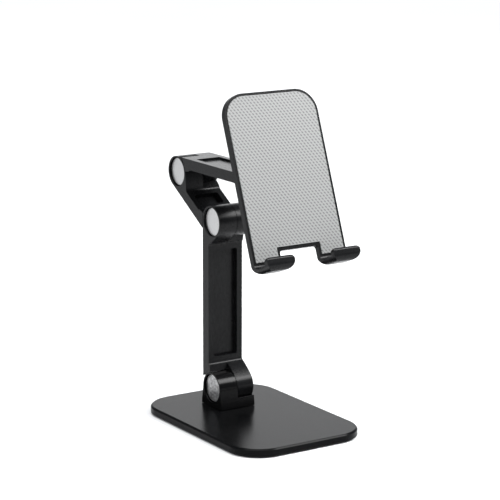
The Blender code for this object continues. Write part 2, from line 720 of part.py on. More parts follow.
make_bracket("base_bracket", base_axis, -LOWER_ARM_TURN, True)
make_arm("lower_arm", base_axis, LOWER_ARM_LENGTH, True)
make_arm("middle_arm", elbow_axis, MIDDLE_ARM_LENGTH, False)
make_arm("upper_arm", upper_axis, UPPER_ARM_LENGTH, True)
make_bracket("plate_bracket", plate_axis, -90.0, False)
make_plate(plate_axis)

make_hinge("base_hinge", base_axis, ORIGIN)
make_hinge("elbow_hinge", base_axis, (0.0, 0.0, LOWER_ARM_LENGTH))
make_hinge("upper_hinge", elbow_axis, (0.0, 0.0, MIDDLE_ARM_LENGTH))
make_hinge("plate_hinge", upper_axis, (0.0, 0.0, UPPER_ARM_LENGTH))
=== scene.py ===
"""A folding phone stand in satin black aluminium, dressed over its mechanical frame.

Lengths are in millimetres unless a name says otherwise and turn to metres where a mesh is made.
The frame is +X to the sitter's right, +Y to the back and +Z up. Every piece is drawn in a frame
of its own: an arm's runs from its lower hinge along +Z with its flat outer face towards +Y, and
the cradle's has its origin on the hinge, +Z up the plate and +Y through it to the back.
"""

from __future__ import annotations

import json
import logging
from collections.abc import Iterable, Mapping, Sequence
from dataclasses import dataclass, field
from enum import Enum
from math import asin, atan2, cos, degrees, hypot, pi, radians, sin, tan, tau
from typing import Any, ClassVar

import bmesh
import bpy
from mathutils import Matrix, Vector


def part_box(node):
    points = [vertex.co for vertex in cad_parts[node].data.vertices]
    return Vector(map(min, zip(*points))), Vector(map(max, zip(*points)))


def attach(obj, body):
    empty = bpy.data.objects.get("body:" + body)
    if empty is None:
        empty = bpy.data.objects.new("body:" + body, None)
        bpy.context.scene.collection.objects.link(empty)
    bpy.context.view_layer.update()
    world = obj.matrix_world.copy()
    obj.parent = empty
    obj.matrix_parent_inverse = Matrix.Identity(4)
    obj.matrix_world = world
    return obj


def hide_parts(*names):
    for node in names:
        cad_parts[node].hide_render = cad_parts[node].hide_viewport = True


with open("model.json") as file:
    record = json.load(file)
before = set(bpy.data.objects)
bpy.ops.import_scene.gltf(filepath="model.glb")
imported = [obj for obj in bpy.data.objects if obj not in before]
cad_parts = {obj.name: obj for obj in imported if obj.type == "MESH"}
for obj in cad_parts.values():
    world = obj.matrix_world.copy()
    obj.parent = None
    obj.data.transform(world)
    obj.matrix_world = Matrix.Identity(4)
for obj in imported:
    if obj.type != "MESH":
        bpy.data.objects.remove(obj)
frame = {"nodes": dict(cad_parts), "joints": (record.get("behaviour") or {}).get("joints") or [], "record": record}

log = logging.getLogger("phone_stand")

MM = 0.001
WELD_GAP = 0.002
FLAT_ANGLE = 0.2
EDGE_ANGLE = 28.0
CAP_FACETS = 128

Point = tuple[float, float]
Outline = list[Point]
Colour = tuple[float, float, float, float]


class Body(str, Enum):
    """The rigid bodies that pieces ride on."""

    BASE = "base"
    LOWER_ARM = "lower_arm"
    MIDDLE_ARM = "middle_arm"
    UPPER_ARM = "upper_arm"
    CRADLE = "cradle"


class Hinge(str, Enum):
    """The four friction hinges."""

    BASE = "base_hinge"
    ELBOW = "elbow_hinge"
    UPPER = "upper_hinge"
    PLATE = "plate_hinge"


class Slot(str, Enum):
    """The record's material slots."""

    BLACK = "black_aluminium"
    SILVER = "silver_aluminium"
    STEEL = "steel"
    SPRING = "spring_steel"
    NYLON = "nylon"
    GRIP = "silver_silicone"
    RUBBER = "black_silicone"


class Along(Enum):
    """The direction in which an outline is extruded, with what its two axes stand for."""

    X = Matrix(((0, 0, 1, 0), (1, 0, 0, 0), (0, 1, 0, 0), (0, 0, 0, 1)))
    Y = Matrix(((1, 0, 0, 0), (0, 0, 1, 0), (0, 1, 0, 0), (0, 0, 0, 1)))
    Z = Matrix.Identity(4)


# ---------------------------------------------------------------- shader graphs
@dataclass(frozen=True)
class Value:
    """A shader socket with arithmetic: each operator adds a Math node to its graph."""

    graph: Graph
    socket: bpy.types.NodeSocket

    def _math(self, operation: str, *terms: Number) -> Value:
        """Apply a Math operation.

        Args:
            operation: the Math node's operation.
            terms: its operands, in order.

        Returns:
            The result's socket.
        """
        inputs = dict(enumerate(terms))
        node = self.graph.node("ShaderNodeMath", {"operation": operation}, inputs)
        return Value(self.graph, node.outputs[0])

    def __add__(self, other: Number) -> Value:
        """Return self + other."""
        return self._math("ADD", self, other)

    def __radd__(self, other: Number) -> Value:
        """Return other + self."""
        return self._math("ADD", other, self)

    def __sub__(self, other: Number) -> Value:
        """Return self - other."""
        return self._math("SUBTRACT", self, other)

    def __rsub__(self, other: Number) -> Value:
        """Return other - self."""
        return self._math("SUBTRACT", other, self)

    def __mul__(self, other: Number) -> Value:
        """Return self * other."""
        return self._math("MULTIPLY", self, other)

    def __rmul__(self, other: Number) -> Value:
        """Return other * self."""
        return self._math("MULTIPLY", other, self)

    def __truediv__(self, other: Number) -> Value:
        """Return self / other."""
        return self._math("DIVIDE", self, other)

    def __rtruediv__(self, other: Number) -> Value:
        """Return other / self."""
        return self._math("DIVIDE", other, self)

    def floor(self) -> Value:
        """Return the whole number below."""
        return self._math("FLOOR", self)

    def fraction(self) -> Value:
        """Return what is left above the whole number below."""
        return self._math("FRACT", self)

    def root(self) -> Value:
        """Return the square root."""
        return self._math("SQRT", self)

    def centred(self, spread: float) -> Value:
        """Return noise between 0 and 1 as a value about zero, times spread."""
        return (self - 0.5) * spread

    def angle_from(self, other: Value) -> Value:
        """Return the angle, in radians, whose tangent is self over other."""
        return self._math("ARCTAN2", self, other)

    def ramp(self, start: float, end: float, low: float = 0.0, high: float = 1.0) -> Value:
        """Map a range to another along a smooth step.

        Args:
            start: the value that gives low.
            end: the value that gives high.
            low: the result at start and beyond it.
            high: the result at end and beyond it.

        Returns:
            The mapped value.
        """
        node = self.graph.node(
            "ShaderNodeMapRange",
            {"interpolation_type": "SMOOTHSTEP"},
            {"Value": self, "From Min": start, "From Max": end, "To Min": low, "To Max": high},
        )
        return Value(self.graph, node.outputs[0])


Number = Value | float


class Graph:
    """A material's node tree, with one method that adds any node."""

    def __init__(self, tree: bpy.types.NodeTree) -> None:
        """Start an empty graph in the tree."""
        self.tree = tree
        tree.nodes.clear()
        self.output = self.node("ShaderNodeOutputMaterial")

    def node(
        self,
        kind: str,
        settings: Mapping[str, Any] | None = None,
        inputs: Mapping[str | int, Any] | None = None,
    ) -> bpy.types.Node:
        """Add a node.

        Args:
            kind: the node's type name.
            settings: its properties, set first because they can change its sockets.
            inputs: a value, or a Value to link, for each named or numbered input.

        Returns:
            The new node.
        """
        made = self.tree.nodes.new(kind)
        for name, setting in (settings or {}).items():
            setattr(made, name, setting)
        for key, given in (inputs or {}).items():
            if isinstance(given, Value):
                self.tree.links.new(given.socket, made.inputs[key])
            else:
                made.inputs[key].default_value = given
        return made

    def place(self, scale: Sequence[float] = (1.0, 1.0, 1.0)) -> Value:
        """Return the position in the piece's own frame, in metres times scale."""
        coordinates = self.node("ShaderNodeTexCoord")
        position = Value(self, coordinates.outputs["Object"])
        scaled = self.node("ShaderNodeVectorMath", {"operation": "MULTIPLY"}, {0: position, 1: scale})
        return Value(self, scaled.outputs[0])

    def split(self, vector: Value) -> tuple[Value, Value, Value]:
        """Return a vector's x, y and z."""
        node = self.node("ShaderNodeSeparateXYZ", inputs={0: vector})
        x, y, z = (Value(self, output) for output in node.outputs)
        return x, y, z

    def joined(self, x: Number, y: Number, z: Number) -> Value:
        """Return the vector made of three values."""
        node = self.node("ShaderNodeCombineXYZ", inputs={0: x, 1: y, 2: z})
        return Value(self, node.outputs[0])

    def noise(self, at: Value, scale: float, detail: float = 2.0, roughness: float = 0.5) -> Value:
        """Return fractal noise between 0 and 1.

        Args:
            at: the position that it is read at.
            scale: how many lumps fit in one unit of the position.
            detail: how many finer layers are added.
            roughness: how strong the finer layers are.

        Returns:
            The noise's value.
        """
        inputs = {"Vector": at, "Scale": scale, "Detail": detail, "Roughness": roughness}
        return Value(self, self.node("ShaderNodeTexNoise", inputs=inputs).outputs[0])

    def mix(self, factor: Number, low: Colour, high: Colour) -> Value:
        """Return a colour between low, at factor 0, and high, at factor 1."""
        node = self.node("ShaderNodeMix", {"data_type": "RGBA"}, {0: factor, 6: low, 7: high})
        return Value(self, node.outputs[2])

    def bump(self, height: Value, depth: float, strength: float = 1.0) -> Value:
        """Return the normal of a surface raised by height times depth in millimetres."""
        inputs = {"Height": height, "Distance": depth * MM, "Strength": strength}
        return Value(self, self.node("ShaderNodeBump", inputs=inputs).outputs[0])

    def surface(self, inputs: Mapping[str, Any]) -> None:
        """Finish the graph with a Principled shader that has these inputs."""
        shader = self.node("ShaderNodeBsdfPrincipled", inputs=inputs)
        self.tree.links.new(shader.outputs[0], self.output.inputs[0])


# ---------------------------------------------------------------- finishes
@dataclass(frozen=True)
class Finish:
    """A surface finish whose material is made once, on first use."""

    name: str

    def material(self) -> bpy.types.Material:
        """Return the finish's material."""
        known = bpy.data.materials.get(self.name)
        if known is not None:
            return known
        made = bpy.data.materials.new(self.name)
        made.use_nodes = True
        self.paint(Graph(made.node_tree))
        return made

    def paint(self, graph: Graph) -> None:
        """Lay out the finish's nodes in an empty graph."""
        raise NotImplementedError


@dataclass(frozen=True)
class Anodised(Finish):
    """Bead-blasted and dyed aluminium: a dark oxide layer with a fine, even grain."""

    colour: Colour = (0.0030, 0.0031, 0.0034, 1.0)
    worn: Colour = (0.0050, 0.0052, 0.0056, 1.0)
    sheen_level: float = 0.12
    roughness: float = 0.28
    grain_per_m: float = 5200.0
    grain_depth: float = 0.010
    grain_play: float = 0.10
    cloud_per_m: float = 55.0
    cloud_share: float = 0.6
    marks_per_m: float = 420.0
    marks_play: float = 0.08
    marks_stretch: tuple[float, float, float] = (1.0, 1.0, 0.35)

    def paint(self, graph: Graph) -> None:
        """Lay out the grain, a slow change of shade, and the faint marks of handling."""
        place = graph.place()
        grain = graph.noise(place, self.grain_per_m, 2.0, 0.6)
        cloud = graph.noise(place, self.cloud_per_m, 3.0)
        marks = graph.noise(graph.place(self.marks_stretch), self.marks_per_m, 4.0, 0.7)
        shade = cloud * self.cloud_share + grain * (1.0 - self.cloud_share)
        graph.surface({
            "Base Color": graph.mix(shade.ramp(0.3, 0.7), self.colour, self.worn),
            "Roughness": self.roughness + grain.centred(self.grain_play) + marks.centred(self.marks_play),
            "Specular IOR Level": self.sheen_level,
            "Normal": graph.bump(grain, self.grain_depth, 0.6),
        })


@dataclass(frozen=True)
class SpunSilver(Finish):
    """Bright aluminium faced on a lathe, its streaks running out from the middle; with few rays the streaks widen
    into broad light and dark sectors, a painted fan-shaped highlight.
    """

    dark: Colour = (0.38, 0.38, 0.38, 1.0)
    light: Colour = (0.56, 0.56, 0.555, 1.0)
    roughness: float = 0.34
    rays: float = 26.0
    ray_play: float = 0.16
    ray_drift_per_m: float = 90.0
    rings_per_m: float = 5200.0
    ring_play: float = 0.10
    ring_share: float = 0.7
    ring_depth: float = 0.012

    def paint(self, graph: Graph) -> None:
        """Lay out rays round the piece's X axis, which few rays widen into a painted fan-shaped highlight, and the
        fine rings of the cutting tool.
        """
        _, y, z = graph.split(graph.place())
        radius = (y * y + z * z).root()
        turn = y.angle_from(z)
        fan = graph.joined(turn * self.rays / tau, radius * self.ray_drift_per_m, 0.0)
        streaks_and_painted_fan = graph.noise(fan, 6.0, 3.0, 0.65)
        ring = graph.noise(graph.joined(radius, 0.0, 0.0), self.rings_per_m, 2.0, 0.6)
        relief = ring * self.ring_share + streaks_and_painted_fan * (1.0 - self.ring_share)
        graph.surface({
            "Base Color": graph.mix(streaks_and_painted_fan.ramp(0.25, 0.75), self.dark, self.light),
            "Roughness": self.roughness + streaks_and_painted_fan.centred(self.ray_play) + ring.centred(self.ring_play),
            "Metallic": 1.0,
            "Normal": graph.bump(relief, self.ring_depth, 0.5),
        })


@dataclass(frozen=True)
class TurnedSteel(Finish):
    """Plated steel with tool marks and slightly clouded plating."""

    dark: Colour = (0.30, 0.30, 0.31, 1.0)
    light: Colour = (0.50, 0.50, 0.51, 1.0)
    roughness: float = 0.33
    cloud_per_m: float = 260.0
    scratches_per_m: float = 4200.0
    scratch_stretch: tuple[float, float, float] = (0.12, 1.0, 1.0)
    scratch_play: float = 0.2
    scratch_depth: float = 0.008

    def paint(self, graph: Graph) -> None:
        """Lay out clouding and the fine scratches of the tool."""
        cloud = graph.noise(graph.place(), self.cloud_per_m, 4.0, 0.6)
        scratch = graph.noise(graph.place(self.scratch_stretch), self.scratches_per_m, 2.0, 0.7)
        graph.surface({
            "Base Color": graph.mix(cloud.ramp(0.3, 0.7), self.dark, self.light),
            "Roughness": self.roughness + scratch.centred(self.scratch_play),
            "Metallic": 1.0,
            "Normal": graph.bump(scratch, self.scratch_depth, 0.5),
        })


@dataclass(frozen=True)
class DottedGrip(Finish):
    """Silver silicone sheet pressed with a staggered pattern of slanted oval dimples."""

    dimple: Colour = (0.12, 0.122, 0.12, 1.0)
    sheet: Colour = (0.240, 0.243, 0.240, 1.0)
    pitch: float = 2.2
    row_pitch: float = 1.54
    slant: float = -45.0
    half_length: float = 0.40
    half_width: float = 0.21
    dimple_depth: float = 0.05
    dimple_tone: float = 0.9
    flakes_per_m: float = 9000.0
    flake_tone: float = 0.25
    flake_height: float = 0.06
    roughness: float = 0.42
    sheen_level: float = 0.3
    metallic: float = 0.15

    def paint(self, graph: Graph) -> None:
        """Lay out the dimples, the sheet's metallic flake and its matt skin."""
        place = graph.place()
        x, _, z = graph.split(place)
        across = x / (self.pitch * MM)
        up = z / (self.row_pitch * MM)
        row = up.floor()
        u = (across + row * 0.5).fraction() - 0.5
        v = (up.fraction() - 0.5) * (self.row_pitch / self.pitch)
        lean = radians(self.slant)
        along = (u * cos(lean) + v * sin(lean)) / self.half_length
        aside = (v * cos(lean) - u * sin(lean)) / self.half_width
        dimple = (along * along + aside * aside).root().ramp(0.6, 1.2, 1.0, 0.0)
        flake = graph.noise(place, self.flakes_per_m, 1.0)
        tone = dimple * self.dimple_tone + flake.centred(self.flake_tone)
        graph.surface({
            "Base Color": graph.mix(tone.ramp(0.0, 1.0), self.sheet, self.dimple),
            "Roughness": self.roughness + dimple * 0.15 + flake.centred(0.1),
            "Specular IOR Level": self.sheen_level,
            "Metallic": self.metallic,
            "Normal": graph.bump(dimple * -1.0 + flake * self.flake_height, self.dimple_depth, 0.5),
        })


@dataclass(frozen=True)
class Rubber(Finish):
    """Matt black silicone with a moulded satin texture."""

    colour: Colour = (0.016, 0.016, 0.017, 1.0)
    dusted: Colour = (0.034, 0.034, 0.035, 1.0)
    roughness: float = 0.58
    texture_per_m: float = 3600.0
    texture_play: float = 0.2
    texture_depth: float = 0.02
    dust_per_m: float = 140.0

    def paint(self, graph: Graph) -> None:
        """Lay out the mould's texture and a trace of dust."""
        place = graph.place()
        texture = graph.noise(place, self.texture_per_m, 3.0, 0.6)
        dust = graph.noise(place, self.dust_per_m, 4.0, 0.65)
        graph.surface({
            "Base Color": graph.mix(dust.ramp(0.45, 0.8), self.colour, self.dusted),
            "Roughness": self.roughness + texture.centred(self.texture_play),
            "Normal": graph.bump(texture, self.texture_depth, 0.7),
        })


@dataclass(frozen=True)
class Nylon(Finish):
    """Natural nylon, slightly mottled."""

    colour: Colour = (0.52, 0.50, 0.44, 1.0)
    pale: Colour = (0.66, 0.64, 0.58, 1.0)
    mottle_per_m: float = 420.0
    skin_per_m: float = 5000.0
    skin_play: float = 0.2
    skin_depth: float = 0.01
    roughness: float = 0.45

    def paint(self, graph: Graph) -> None:
        """Lay out the mottling and a fine skin."""
        place = graph.place()
        mottle = graph.noise(place, self.mottle_per_m, 3.0)
        skin = graph.noise(place, self.skin_per_m, 2.0)
        graph.surface({
            "Base Color": graph.mix(mottle, self.colour, self.pale),
            "Roughness": self.roughness + skin.centred(self.skin_play),
            "Normal": graph.bump(skin, self.skin_depth, 0.5),
        })


@dataclass(frozen=True)
class Tabletop(Finish):
    """A plain pale studio floor."""

    colour: Colour = (0.86, 0.86, 0.865, 1.0)
    pale: Colour = (0.90, 0.90, 0.90, 1.0)

    def paint(self, graph: Graph) -> None:
        """Lay out a barely visible change of shade."""
        cloud = graph.noise(graph.place(), 3.0, 2.0)
        graph.surface({
            "Base Color": graph.mix(cloud, self.colour, self.pale),
            "Roughness": 0.75,
            "Specular IOR Level": 0.2,
        })


BLACK = Anodised("anodised_black")
BLACK_BASE = Anodised(
    "anodised_black_base", (0.0018, 0.0019, 0.0021, 1.0), (0.0030, 0.0031, 0.0034, 1.0),
    sheen_level=0.05, roughness=0.25, grain_depth=0.003,
)
# a darker copy of the anodised black for the hinge blocks: its lowered colour paints the darkness their faces show
# from reflecting the dark base plate, painted shade and painted reflection
BLACK_BLOCK_PAINTED_SHADE = Anodised(
    "anodised_black_block_painted_shade", (0.0010, 0.0010, 0.0011, 1.0), (0.0018, 0.0018, 0.0020, 1.0),
    sheen_level=0.11, roughness=0.22, grain_depth=0.004,
)
SILVER = SpunSilver("spun_silver")
# the base hinge's cap: its colour swings from dark to light in a couple of broad sectors round the centre, a
# painted fan-shaped highlight of the spun disc
SILVER_PAINTED_FAN_HIGHLIGHT = SpunSilver("spun_silver_painted_fan_highlight", (0.12, 0.12, 0.12, 1.0), (0.56, 0.56, 0.56, 1.0), rays=1.6)
STEEL = TurnedSteel("plated_steel")
SPRING = TurnedSteel("oiled_spring_steel", (0.16, 0.155, 0.15, 1.0), (0.28, 0.27, 0.26, 1.0), 0.28)
GRIP = DottedGrip("dotted_grip")
RUBBER = Rubber("matt_silicone")
NYLON = Nylon("natural_nylon")
TABLETOP = Tabletop("studio_floor")


# ---------------------------------------------------------------- outlines
def arc(centre: Point, radius: float, start: float, end: float, steps: int = 0) -> Outline:
    """Return the points of an arc.

    Args:
        centre: its centre.
        radius: its radius.
        start: the first point's direction in degrees.
        end: the last point's direction in degrees.
        steps: how many chords it has, or 0 for chords of about 3 degrees.

    Returns:
        The points, both ends included.
    """
    count = steps or max(4, round(abs(end - start) / 3.0))
    turns = [radians(start + (end - start) * step / count) for step in range(count + 1)]
    return [(centre[0] + radius * cos(turn), centre[1] + radius * sin(turn)) for turn in turns]


def rounded_rectangle(low: Point, high: Point, radius: float, steps: int = 0) -> Outline:
    """Return the outline of a rectangle with rounded corners."""
    points = arc((high[0] - radius, low[1] + radius), radius, -90, 0, steps)
    points += arc((high[0] - radius, high[1] - radius), radius, 0, 90, steps)
    points += arc((low[0] + radius, high[1] - radius), radius, 90, 180, steps)
    points += arc((low[0] + radius, low[1] + radius), radius, 180, 270, steps)
    return points


def hexagon(flats: float) -> Outline:
    """Return the outline of a hexagon of the given width across flats."""
    radius = flats / 2 / cos(pi / 6)
    return [(radius * cos(pi / 3 * side), radius * sin(pi / 3 * side)) for side in range(6)]


def mirrored(wing: Outline) -> Outline:
    """Return a wing's outline joined to its mirror image in the first axis."""
    return wing + [(-x, z) for x, z in reversed(wing)]


# ---------------------------------------------------------------- solids
def prism(outline: Outline, start: float, end: float, along: Along = Along.Z) -> bpy.types.Mesh:
    """Extrude an outline.

    Args:
        outline: its points; their axes are the two that follow the extrusion's in X, Y, Z order,
            except that along Y they are x and z.
        start: where the solid begins along the extrusion.
        end: where it ends.
        along: the extrusion's direction.

    Returns:
        The closed mesh, in metres.
    """
    work = bmesh.new()
    corners = [work.verts.new((u * MM, v * MM, start * MM)) for u, v in outline]
    face = work.faces.new(corners)
    grown = bmesh.ops.extrude_face_region(work, geom=[face])
    moved = [item for item in grown["geom"] if isinstance(item, bmesh.types.BMVert)]
    bmesh.ops.translate(work, verts=moved, vec=(0.0, 0.0, (end - start) * MM))
    work.transform(along.value)
    return finished(work)


def lathed(profile: Outline, steps: int = 96) -> bpy.types.Mesh:
    """Turn a closed (radius, x) profile about the X axis.

    Args:
        profile: its points; two of radius 0 next to each other close it on the axis.
        steps: facets in the full turn.

    Returns:
        The closed mesh, in metres.
    """
    work = bmesh.new()
    rings: list[list[bmesh.types.BMVert]] = []
    for radius, x in profile:
        count = steps if radius > 0 else 1
        turns = [tau * step / count for step in range(count)]
        rings.append([
            work.verts.new((x * MM, radius * cos(turn) * MM, radius * sin(turn) * MM))
            for turn in turns
        ])
    for ring, after in zip(rings, rings[1:] + rings[:1]):
        if len(ring) == 1 and len(after) == 1:
            continue
        for step in range(steps):
            near = [ring[step % len(ring)], ring[(step + 1) % len(ring)]]
            far = [after[(step + 1) % len(after)], after[step % len(after)]]
            work.faces.new(dict.fromkeys(near + far))
    return finished(work)


def skinned(layers: Iterable[tuple[Outline, float]], ring: bool = False) -> bpy.types.Mesh:
    """Join outlines that have equally many points, each at a height of its own.

    Args:
        layers: the outlines in order, each with its height.
        ring: whether the last layer joins the first; otherwise both ends are filled.

    Returns:
        The closed mesh, in metres.
    """
    work = bmesh.new()
    loops = [
        [work.verts.new((x * MM, y * MM, z * MM)) for x, y in outline] for outline, z in layers
    ]
    followers = loops[1:] + loops[:1] if ring else loops[1:]
    for loop, after in zip(loops, followers):
        count = len(loop)
        for step in range(count):
            near = (step + 1) % count
            work.faces.new((loop[step], loop[near], after[near], after[step]))
    if not ring:
        work.faces.new(loops[0])
        work.faces.new(loops[-1])
    return finished(work)


def finished(work: bmesh.types.BMesh) -> bpy.types.Mesh:
    """Turn the work's faces outwards and return its mesh; the work is freed."""
    bmesh.ops.recalc_face_normals(work, faces=work.faces)
    if work.calc_volume(signed=True) < 0:
        bmesh.ops.reverse_faces(work, faces=work.faces)
    mesh = bpy.data.meshes.new("shape")
    work.to_mesh(mesh)
    work.free()
    return mesh


def bored(steps: Iterable[tuple[float, float, float]]) -> bpy.types.Mesh:
    """Return a stepped round solid along X from (radius, from, to) steps in order along X."""
    listed = list(steps)
    profile = [(0.0, listed[0][1])]
    for radius, start, end in listed:
        profile += [(radius, start), (radius, end)]
    profile.append((0.0, listed[-1][2]))
    return lathed(profile)


def shifted(mesh: bpy.types.Mesh, x: float = 0.0, y: float = 0.0, z: float = 0.0) -> bpy.types.Mesh:
    """Move a mesh by millimetres and return it."""
    mesh.transform(Matrix.Translation((x * MM, y * MM, z * MM)))
    return mesh


@dataclass
class Piece:
    """One visible piece of the stand, drawn in a frame of its own."""

    name: str
    mesh: bpy.types.Mesh
    finish: Finish
    slot: Slot
    body: Body
    stands_for: str
    at: Matrix = field(default_factory=lambda: Matrix.Identity(4))
    edge: float = 0.3
    edge_steps: int = 3
    made: ClassVar[list[bpy.types.Object]] = []

    def __post_init__(self) -> None:
        """Put the piece's mesh in the scene."""
        self.thing = bpy.data.objects.new(self.name, self.mesh)
        bpy.context.scene.collection.objects.link(self.thing)

    def change(self, operation: str, tools: Iterable[bpy.types.Mesh]) -> Piece:
        """Cut the piece with other solids, or keep what it shares with them.

        Args:
            operation: DIFFERENCE or INTERSECT.
            tools: the solids, in the piece's own frame.

        Returns:
            The piece itself.
        """
        for tool in tools:
            holder = bpy.data.objects.new("tool", tool)
            bpy.context.scene.collection.objects.link(holder)
            modifier = self.thing.modifiers.new("cut", "BOOLEAN")
            modifier.operation = operation
            modifier.solver = "EXACT"
            modifier.object = holder
            evaluated = self.thing.evaluated_get(bpy.context.evaluated_depsgraph_get())
            self.thing.data = bpy.data.meshes.new_from_object(evaluated)
            self.thing.modifiers.clear()
            bpy.data.objects.remove(holder, do_unlink=True)
        return self

    def cut(self, *tools: bpy.types.Mesh) -> Piece:
        """Cut solids out of the piece and return it."""
        return self.change("DIFFERENCE", tools)

    def keep(self, *tools: bpy.types.Mesh) -> Piece:
        """Keep only what the piece shares with the solids and return it."""
        return self.change("INTERSECT", tools)

    def tidy_faces(self) -> None:
        """Weld stray points and dissolve the flat seams that cutting leaves."""
        work = bmesh.new()
        work.from_mesh(self.thing.data)
        bmesh.ops.remove_doubles(work, verts=work.verts, dist=WELD_GAP * MM)
        bmesh.ops.dissolve_limit(
            work, angle_limit=radians(FLAT_ANGLE), verts=work.verts, edges=work.edges, delimit={"NORMAL"}
        )
        work.to_mesh(self.thing.data)
        work.free()

    def done(self) -> None:
        """Round the piece's edges, paint it, place it and tie it to its body."""
        self.tidy_faces()
        thing = self.thing
        if self.edge > 0:
            bevel = thing.modifiers.new("edges", "BEVEL")
            bevel.width = self.edge * MM
            bevel.segments = self.edge_steps
            bevel.limit_method = "ANGLE"
            bevel.angle_limit = radians(EDGE_ANGLE)
            bevel.miter_outer = "MITER_ARC"
        thing.data.materials.clear()
        thing.data.materials.append(self.finish.material())
        thing.data.shade_smooth()
        weighted = thing.modifiers.new("flat faces", "WEIGHTED_NORMAL")
        weighted.keep_sharp = True
        weighted.weight = 80
        thing.matrix_world = self.at
        bpy.context.view_layer.update()
        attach(thing, self.body.value)
        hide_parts(self.stands_for)
        Piece.made.append(thing)
        log.info("%s on %s: %d faces", self.name, self.body.value, len(thing.data.polygons))


# ---------------------------------------------------------------- where things are
def hinge_point(hinge: Hinge) -> Vector:
    """Return a hinge's point on the middle plane, in metres."""
    found = next(joint for joint in frame["joints"] if joint["name"] == hinge.value)
    return Vector(found["pos_m"])


def frame_at(origin: Vector, up: Vector) -> Matrix:
    """Return the frame with this origin, its Z along up and its X along the world's."""
    x = Vector((1.0, 0.0, 0.0))
    z = up.normalized()
    y = z.cross(x)
    turned = Matrix((x, y, z)).transposed().to_4x4()
    return Matrix.Translation(origin) @ turned


def mount_axis(name: str) -> Vector:
    """Return the outward normal of one of the record's mounts."""
    found = next(mount for mount in frame["record"]["mounts"] if mount["name"] == name)
    return Vector(found["axis"])


# ---------------------------------------------------------------- hinges
@dataclass(frozen=True)
class Knuckle:
    """The sizes that every hinge shares."""

    radius: float = 9.0
    width: float = 22.3
    split: float = 0.5
    gap: float = 0.3
    turning_gap: float = 0.35
    cap_bore: float = 8.15
    cap_radius: float = 7.85
    cap_sunk: float = 1.3
    cap_thickness: float = 1.9
    bolt_hole: float = 2.65
    nut_pocket_flats: float = 8.6
    nut_pocket_depth: float = 4.3
    head_bore: float = 5.6
    head_bore_depth: float = 5.5
    seat_radius: float = 6.3
    seat_depth: float = 0.75
    bolt_radius: float = 2.35
    head_radius: float = 4.75
    head_height: float = 2.7
    head_seat: float = 8.05
    socket_flats: float = 3.0
    socket_depth: float = 1.6
    outer_stop: float = 60.0
    inner_relief: float = 9.0
    relief_reach: float = 16.0
    past: float = 1.0
    beyond: float = 30.0

    @property
    def half(self) -> float:
        """Half the hinge's width."""
        return self.width / 2

    @property
    def left_end(self) -> float:
        """Where the left knuckle ends."""
        return self.split - self.gap / 2

    @property
    def right_end(self) -> float:
        """Where the right knuckle ends."""
        return self.split + self.gap / 2

    @property
    def turning_radius(self) -> float:
        """The radius in which a neighbour's knuckle turns."""
        return self.radius + self.turning_gap

    def parent_bores(self, z: float = 0.0) -> list[bpy.types.Mesh]:
        """Return what is bored out of a left knuckle: cap, nut, bolt and washer."""
        floor = -self.half + self.cap_sunk + self.cap_thickness + self.gap
        steps = [
            (self.cap_bore, -self.half - self.past, floor),
            (self.bolt_hole, floor, self.left_end - self.seat_depth),
            (self.seat_radius, self.left_end - self.seat_depth, self.left_end + self.gap / 3),
        ]
        pocket = prism(
            hexagon(self.nut_pocket_flats), floor - self.past, floor + self.nut_pocket_depth, Along.X
        )
        return [shifted(bored(steps), z=z), shifted(pocket, z=z)]

    def child_bores(self, z: float = 0.0) -> list[bpy.types.Mesh]:
        """Return what is bored out of a right knuckle: bolt head, bolt and washer."""
        floor = self.half - self.head_bore_depth
        steps = [
            (self.seat_radius, self.right_end - self.gap / 3, self.right_end + self.seat_depth),
            (self.bolt_hole, self.right_end + self.seat_depth, floor),
            (self.head_bore, floor, self.half + self.past),
        ]
        return [shifted(bored(steps), z=z)]

    def clearance(self, length: float, at_top: bool) -> Outline:
        """Return the (y, z) outline to take off half of an arm so that its neighbour can turn.

        Args:
            length: the arm's length between its hinges.
            at_top: whether the outline is for the arm's upper end.

        Returns:
            The outline.
        """
        stop = radians(self.outer_stop)
        relief = radians(self.inner_relief)
        points = [(self.relief_reach * tan(relief), self.relief_reach)]
        points += arc((0, 0), self.turning_radius, 90 - self.inner_relief, self.outer_stop)
        points.append((
            self.turning_radius * cos(stop) + self.beyond * sin(stop),
            self.turning_radius * sin(stop) - self.beyond * cos(stop),
        ))
        far = self.beyond
        points += [(far, -far), (-far, -far), (-far, self.relief_reach)]
        if at_top:
            points = [(y, length - z) for y, z in reversed(points)]
        return points


KNUCKLE = Knuckle()


